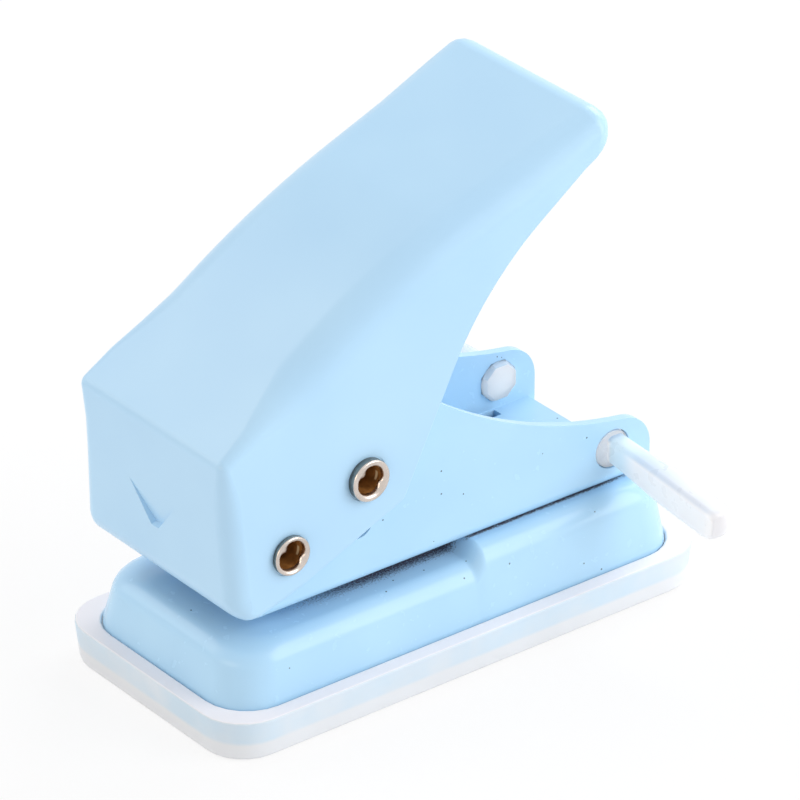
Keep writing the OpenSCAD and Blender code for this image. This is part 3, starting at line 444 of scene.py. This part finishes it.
def coil():
    """Return spring: four open turns of round wire with straight ends, drawn at rest."""
    low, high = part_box("return_spring")
    pin_low, pin_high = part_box("punch_pin")
    r_wire, r_mean, turns, per, sides = 0.3 * MM, 4.6 * MM, 4, 40, 12
    cx = (pin_low.x + pin_high.x) / 2
    z0, z1 = low.z + r_wire, high.z - r_wire
    n = turns * per
    path = [Vector((r_mean * math.cos(2 * math.pi * k / per), r_mean * math.sin(2 * math.pi * k / per),
                    z0 + (z1 - z0) * k / n)) for k in range(n + 1)]
    tail = Vector((0, 2 * r_wire, 0))
    path = [path[0] - tail] + path + [path[-1] + tail]
    verts, faces = [], []
    for i, p in enumerate(path):
        t = (path[min(i + 1, len(path) - 1)] - path[max(i - 1, 0)]).normalized()
        flat = Vector((p.x, p.y, 0))
        out = (flat - t * t.dot(flat)).normalized()
        up = t.cross(out)
        for k in range(sides):
            a = 2 * math.pi * k / sides
            verts.append(p + (out * math.cos(a) + up * math.sin(a)) * r_wire + Vector((cx, 0, 0)))
    for i in range(len(path) - 1):
        for k in range(sides):
            j = (k + 1) % sides
            faces.append((i * sides + k, i * sides + j, (i + 1) * sides + j, (i + 1) * sides + k))
    faces.append(tuple(reversed(range(sides))))
    faces.append(tuple((len(path) - 1) * sides + k for k in range(sides)))
    mesh = bpy.data.meshes.new("return_coil")
    mesh.from_pydata(verts, [], faces)
    smooth(mesh)
    outward(mesh)
    obj = link("return_coil", mesh, "stand", [spring_wire])
    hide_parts("return_spring")
    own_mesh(obj)


coil()

for name, mat in {
    "die_plate": die_steel, "drive_sleeve": steel, "pivot_washer_left": nylon, "pivot_washer_right": nylon,
    "drive_washer_left": nylon, "drive_washer_right": nylon, "punch_pin": steel, "punch_clip": spring_wire,
    "spring_seat": steel,
}.items():
    o = nodes[name]
    o.data.materials.clear()
    o.data.materials.append(mat)


# Floor, light and camera

def seen_rays(tree):
    """1 for a ray from the camera, also by way of gloss or glass."""
    path = tree.nodes.new("ShaderNodeLightPath")
    seen = path.outputs["Is Camera Ray"]
    for kind in ("Is Glossy Ray", "Is Transmission Ray"):
        n = tree.nodes.new("ShaderNodeMath")
        n.operation = "MAXIMUM"
        tree.links.new(seen, n.inputs[0])
        tree.links.new(path.outputs[kind], n.inputs[1])
        seen = n.outputs[0]
    return seen


def white_floor(reach, drop, white):
    """Pale floor that keeps the object's shadow. white is how much of its own white it shows."""
    corners = [(-reach, -reach), (reach, -reach), (reach, reach), (-reach, reach)]
    mesh = bpy.data.meshes.new("floor")
    mesh.from_pydata([(x, y, -drop) for x, y in corners], [], [(0, 1, 2, 3)])
    obj = bpy.data.objects.new("floor", mesh)
    scene.collection.objects.link(obj)
    mat = bpy.data.materials.new("floor")
    mat.use_nodes = True
    t = mat.node_tree
    t.nodes.clear()
    out = t.nodes.new("ShaderNodeOutputMaterial")
    mix = t.nodes.new("ShaderNodeMixShader")
    diffuse = t.nodes.new("ShaderNodeBsdfDiffuse")
    glow = t.nodes.new("ShaderNodeEmission")
    share = t.nodes.new("ShaderNodeMath")
    share.operation = "MULTIPLY"
    share.inputs[1].default_value = white
    diffuse.inputs[0].default_value = (0.92, 0.92, 0.93, 1)
    glow.inputs[0].default_value = (1, 1, 1, 1)
    glow.inputs[1].default_value = 1.0
    t.links.new(seen_rays(t), share.inputs[0])
    t.links.new(share.outputs[0], mix.inputs[0])
    t.links.new(diffuse.outputs[0], mix.inputs[1])
    t.links.new(glow.outputs[0], mix.inputs[2])
    t.links.new(mix.outputs[0], out.inputs[0])
    mesh.materials.append(mat)


def white_world(strength):
    """Even white light of this strength, behind a background that shows as plain white."""
    world = bpy.data.worlds.new("studio")
    scene.world = world
    world.use_nodes = True
    t = world.node_tree
    t.nodes.clear()
    out = t.nodes.new("ShaderNodeOutputWorld")
    mix = t.nodes.new("ShaderNodeMixShader")
    light = t.nodes.new("ShaderNodeBackground")
    shown = t.nodes.new("ShaderNodeBackground")
    for background, power in ((light, strength), (shown, 1.0)):
        background.inputs[0].default_value = (1, 1, 1, 1)
        background.inputs[1].default_value = power
    t.links.new(seen_rays(t), mix.inputs[0])
    t.links.new(light.outputs[0], mix.inputs[1])
    t.links.new(shown.outputs[0], mix.inputs[2])
    t.links.new(mix.outputs[0], out.inputs[0])


def softbox(name, place, aim, size, power, colour=(1, 1, 1)):
    lamp = bpy.data.lights.new(name, "AREA")
    lamp.shape = "RECTANGLE"
    lamp.size, lamp.size_y = size
    lamp.energy = power
    lamp.color = colour
    obj = bpy.data.objects.new(name, lamp)
    scene.collection.objects.link(obj)
    obj.location = place
    obj.rotation_mode = "QUATERNION"
    obj.rotation_quaternion = (Vector(aim) - Vector(place)).to_track_quat("-Z", "Y")


white_floor(6.0, 0.05 * MM, 0.82)
white_world(0.55)
middle = (0, 0, 0.025)
softbox("right", (0.38, -0.475, 0.36), middle, (0.5, 0.6), 2.75)
softbox("left", (-0.36, 0.48, 0.42), middle, (0.55, 0.5), 1.4)
softbox("front", (-0.60, -0.10, 0.24), middle, (0.4, 0.24), 0.55, (1.0, 0.8, 0.6))
softbox("back", (0.50, 0.18, 0.42), middle, (0.4, 0.4), 1.7)

camera = bpy.data.cameras.new("camera")
camera.lens = 276.1
camera.sensor_width = 36
camera.clip_start = 0.01
view = bpy.data.objects.new("camera", camera)
scene.collection.objects.link(view)
aim = Vector((7.67, 7.53, 19.66)) * MM
azimuth, elevation, distance = math.radians(-38.09), math.radians(28.67), 0.6408
back = Vector((math.sin(azimuth) * math.cos(elevation), -math.cos(azimuth) * math.cos(elevation),
               math.sin(elevation)))
view.location = aim + back * distance
view.rotation_mode = "QUATERNION"
view.rotation_quaternion = (-back).to_track_quat("-Z", "Y")
scene.camera = view
scene.view_settings.view_transform = "Standard"

bpy.context.view_layer.update()
